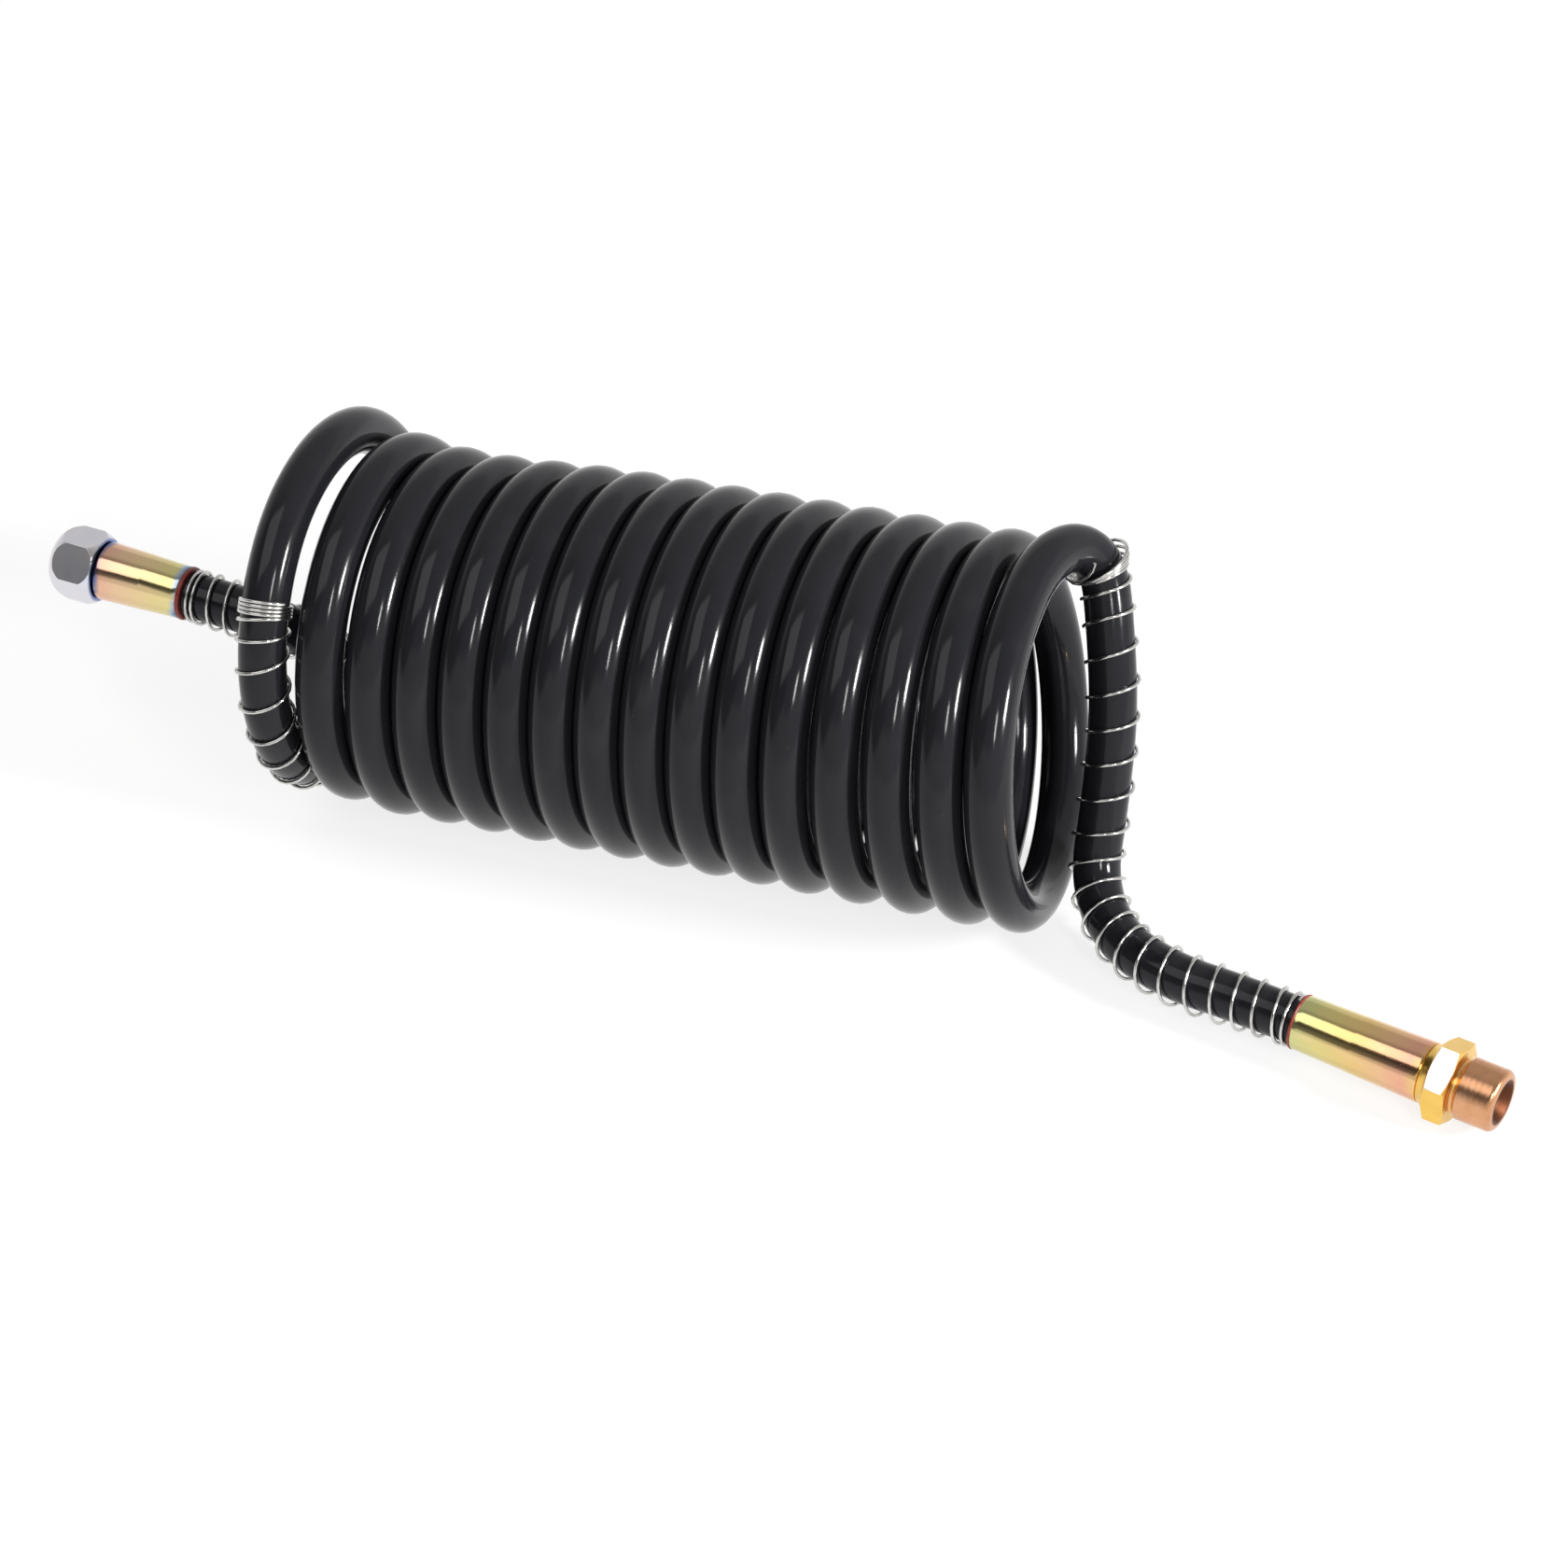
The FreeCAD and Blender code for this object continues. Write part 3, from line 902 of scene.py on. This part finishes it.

# %% [markdown]
# ## Guard wire
# The guards are bright drawn spring wire: nearly white steel with fine lines along it and darker
# patches at random.

# %% Spring wire
def spring_wire():
    finish = Finish("guard_wire", Metallic=1.0)
    uv = finish.take("ShaderNodeUVMap", 0, {"uv_map": "along"})
    drawn = finish.noise(finish.stretched(uv, (14.0, 60.0, 1.0)), 1.0, 3.0, 0.6)
    stain = finish.noise(finish.place(), 160.0, 3.0, 0.6)
    finish.set(Base_Color=finish.ramp(stain * 0.7 + drawn * 0.3, [
        (0.25, (0.34, 0.32, 0.30)), (0.5, (0.60, 0.59, 0.57)), (0.75, (0.74, 0.74, 0.73))]))
    finish.set(Roughness=0.12 + 0.12 * drawn)
    finish.bump(drawn, 0.00002, 0.5)
    finish.paint(guard_left, guard_right)


spring_wire()

# %% [markdown]
# ## Yellow zinc
# The ferrules are zinc-plated and chromated. The chromate film is so thin that it shows rainbow
# tints, which drift along the sleeve with the film's thickness: pink and gold where it is thin and
# olive green where it is thicker. A ramp along the fitting sets the drift and noise breaks it up.

# %% Plated sleeves
def yellow_zinc(name, obj, mouth, yaw, length, stops):
    finish = Finish(name, Metallic=1.0)
    local = finish.along_fitting(mouth, yaw)
    run = finish.part(local, "X") * (1.0 / (length * MM))
    drift = finish.noise(finish.stretched(local, (40.0, 110.0, 110.0)), 1.0, 3.0, 0.55)
    colour = finish.ramp((run + (drift - 0.5) * 0.22).clamped(), stops)
    blush = finish.noise(finish.stretched(local, (60.0, 160.0, 160.0)), 1.3, 2.0, 0.5).between(0.5, 0.68)
    colour = finish.mix(blush * 0.25, colour, (0.86, 0.62, 0.36, 1.0))
    grain = finish.noise(finish.stretched(local, (700.0, 3500.0, 3500.0)), 1.0, 3.0, 0.7)
    specks = finish.noise(local, 1500.0, 2.0, 0.6).between(0.68, 0.78)
    colour = finish.mix(specks * 0.35, colour, (0.25, 0.2, 0.12, 1.0))
    finish.set(Base_Color=colour)
    finish.set(Roughness=0.09 + 0.09 * grain + 0.2 * specks)
    finish.bump(grain, 0.00002, 0.35)
    finish.paint(obj)


yellow_zinc("yellow_zinc_left", ferrule_left, LEFT_MOUTH, LEFT_YAW, LEFT_FERRULE, [
    (0.0, (0.12, 0.22, 0.36)), (0.045, (0.42, 0.48, 0.52)), (0.10, (0.70, 0.62, 0.27)),
    (0.45, (0.76, 0.58, 0.31)), (0.75, (0.77, 0.52, 0.33)), (0.93, (0.76, 0.44, 0.31)),
    (0.99, (0.10, 0.14, 0.32))])
yellow_zinc("yellow_zinc_right", ferrule_right, RIGHT_MOUTH, RIGHT_YAW, RIGHT_FERRULE, [
    (0.0, (0.58, 0.58, 0.26)), (0.25, (0.69, 0.58, 0.23)), (0.5, (0.74, 0.52, 0.21)),
    (0.75, (0.76, 0.46, 0.26)), (0.92, (0.76, 0.38, 0.26)), (1.0, (0.74, 0.46, 0.19))])

# %% [markdown]
# ## Clear zinc, and the stud's brass and copper
# The nut has the plain silver-blue sort of zinc. The stud is the warmest part: its hexagon is
# golden and its spigot looks like copper, with a soft change between the two at the neck. One of
# its flats is painted near-white, a painted highlight, and its bore is painted dark, a painted shade.

# %% Nut and stud
def clear_zinc():
    finish = Finish("clear_zinc", Metallic=1.0)
    local = finish.along_fitting(LEFT_MOUTH, LEFT_YAW)
    cloud = finish.noise(local, 90.0, 3.0, 0.5)
    brushed = finish.noise(finish.stretched(local, (900.0, 300.0, 300.0)), 1.0, 3.0, 0.6)
    rim = finish.part(local, "X").between((NUT_FROM + 0.5) * MM, (NUT_FROM + 0.1) * MM)
    tone = finish.ramp(cloud, [
        (0.3, (0.66, 0.67, 0.74)), (0.55, (0.72, 0.71, 0.76)), (0.8, (0.78, 0.72, 0.70))])
    finish.set(Base_Color=finish.mix(rim * 0.8, tone, (0.10, 0.17, 0.42, 1.0)))
    finish.set(Roughness=0.22 + 0.05 * brushed)
    finish.bump(brushed, 0.000002, 0.05)
    finish.paint(nut)


def inner_wall(finish, local, outer, inner):
    """1 inside a fitting's bore and 0 outside it, from the distance to its axis in mm."""
    across = finish.part(local, "Y") ** 2 + finish.part(local, "Z") ** 2
    return (across ** 0.5).between(outer * MM, inner * MM)


def stud_metal():
    finish = Finish("stud_brass", Metallic=1.0)
    local = finish.along_fitting(RIGHT_MOUTH, RIGHT_YAW)
    run = finish.part(local, "X")
    cloud = finish.noise(local, 200.0, 3.0, 0.55)
    copper = (run + (cloud - 0.5) * 0.002).between((HEX_TO - 0.4) * MM, (HEX_TO + 1.6) * MM)
    golden = finish.ramp(cloud, [
        (0.3, (0.78, 0.49, 0.10)), (0.6, (0.84, 0.54, 0.13)), (0.8, (0.88, 0.50, 0.17))])
    rose = finish.ramp(cloud, [
        (0.3, (0.56, 0.28, 0.14)), (0.6, (0.66, 0.34, 0.18)), (0.8, (0.70, 0.41, 0.26))])
    turned_marks = finish.noise(finish.stretched(local, (6000.0, 60.0, 60.0)), 1.0, 2.0, 0.5)
    inside = inner_wall(finish, local, 6.3, 5.6)
    # One flat of the hexagon is painted near-white: a painted highlight standing in for a lamp's
    # reflection.
    facing = math.radians(STUD_ROLL + 60)
    height = finish.part(local, "Z") * math.cos(facing) - finish.part(local, "Y") * math.sin(facing)
    wear_and_painted_glint = height.between(9.3 * MM, 9.45 * MM) * (1.0 - copper)
    colour = finish.mix(wear_and_painted_glint, finish.mix(copper, golden, rose), (0.95, 0.90, 0.80, 1.0))
    # Inside the bore the metal is painted dark red-brown: painted shade in the hole.
    finish.set(Base_Color=finish.mix(inside, colour, (0.11, 0.04, 0.02, 1.0)))
    finish.set(Roughness=0.17 + 0.12 * turned_marks + 0.05 * cloud + 0.25 * inside)
    finish.bump(turned_marks, 0.000008, 0.25)
    finish.paint(stud)


clear_zinc()
stud_metal()

# %% [markdown]
# ## Small pieces from the CAD model
# The stem and the washer have the right shape already and only need their finishes, turned brass
# and black rubber. The rings are moulded red plastic.

# %% Rings, stem and washer
def ring_plastic():
    finish = Finish("red_ring", IOR=1.48)
    mottle = finish.noise(finish.place(), 900.0, 3.0, 0.6)
    finish.set(Base_Color=finish.ramp(mottle, [
        (0.3, (0.16, 0.012, 0.008)), (0.7, (0.30, 0.030, 0.014))]))
    finish.set(Roughness=0.3 + 0.2 * mottle)
    finish.bump(mottle, 0.00002, 0.5)
    finish.paint(ring_left, ring_right)


def stem_brass():
    finish = Finish("stem_brass", Metallic=1.0)
    local = finish.along_fitting(LEFT_MOUTH, LEFT_YAW)
    marks = finish.noise(finish.stretched(local, (5000.0, 80.0, 80.0)), 1.0)
    finish.set(Base_Color=finish.ramp(marks, [(0.3, (0.62, 0.45, 0.2)), (0.7, (0.78, 0.6, 0.3))]))
    finish.set(Roughness=0.22 + 0.15 * marks)
    finish.paint(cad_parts["stem_left"])


def washer_rubber():
    finish = Finish("washer_rubber", IOR=1.5)
    grain = finish.noise(finish.place(), 1400.0, 3.0, 0.6)
    finish.set(Base_Color=finish.ramp(grain, [(0.3, (0.012, 0.012, 0.012)), (0.7, (0.03, 0.03, 0.03))]))
    finish.set(Roughness=0.6 + 0.2 * grain)
    finish.bump(grain, 0.00003, 0.5)
    finish.paint(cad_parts["sealing_washer"])


ring_plastic()
stem_brass()
washer_rubber()

# %% [markdown]
# ## Floor and light
# The studio is plain: a white floor that glows a little, pale surroundings and a few soft lights.
# Gloss shows the lights themselves, so their places matter. A strip on the right draws the bright
# streak on every turn, and a weaker one near the camera draws the second, fainter streak. The
# overhead light and a dark card below it draw the bright band and the dark line along the sleeves.

# %% Studio
def floor():
    deselect()
    bpy.ops.mesh.primitive_plane_add(size=16.0, location=(0, 0, -0.0015))
    plane = bpy.context.object
    plane.name = "floor"
    finish = Finish("floor", Base_Color=(0.25, 0.25, 0.25, 1.0), Roughness=0.9)
    finish.set(Specular_IOR_Level=0.0, Emission_Color=(1.0, 1.0, 1.0, 1.0), Emission_Strength=0.80)
    finish.paint(plane)


def soft_light(name, place, length, width, long_side, power):
    """A rectangular light facing the object, its longer side as near long_side as it can be."""
    towards = Vector(place).normalized()
    long_side = Vector(long_side)
    long_side = (long_side - towards * long_side.dot(towards)).normalized()
    turn = Matrix((long_side, towards.cross(long_side), towards)).transposed()
    deselect()
    bpy.ops.object.light_add(type="AREA", location=place, rotation=turn.to_euler())
    light = bpy.context.object
    light.name = name
    light.data.shape = "RECTANGLE"
    light.data.size = length
    light.data.size_y = width
    light.data.energy = power
    return light


class Sky(Finish):
    """The world's background, written in the same way as a finish."""

    def __init__(self, name):
        self.material = bpy.data.worlds.new(name)
        self.material.use_nodes = True
        self.nodes = self.material.node_tree.nodes
        self.surface = self.nodes["Background"]
        bpy.context.scene.world = self.material


def surroundings():
    """Bright near the horizon, dimmer overhead, and a dark card in front on the left."""
    sky = Sky("studio")
    way = sky.take("ShaderNodeTexCoord", "Generated")
    x, y, z = (sky.part(way, axis) for axis in "XYZ")
    back = y.between(-0.35, 0.35)
    level = 0.8 - z.between(0.36, 0.52) * (0.54 - 0.29 * back)
    card = (z - 0.95 * x).between(0.68, 0.80) * x.between(-0.1, -0.3) * (1.0 - back)
    sky.set(Color=level * (1.0 - 0.8 * card))


floor()
surroundings()
soft_light("overhead", (-0.57, -0.45, 1.11), 0.80, 0.9, (0, 1, 0), 4.0)
soft_light("right_strip", (1.16, -0.20, 0.57), 0.26, 0.15, (-0.18, 0.90, 0.40), 18.0)
soft_light("high_strip", (0.66, -0.79, 0.79), 0.30, 0.10, (-0.05, 0.84, 0.54), 4.2)
bpy.context.scene.view_settings.view_transform = "Standard"
print("studio ready")

# %% Finish
print("done")
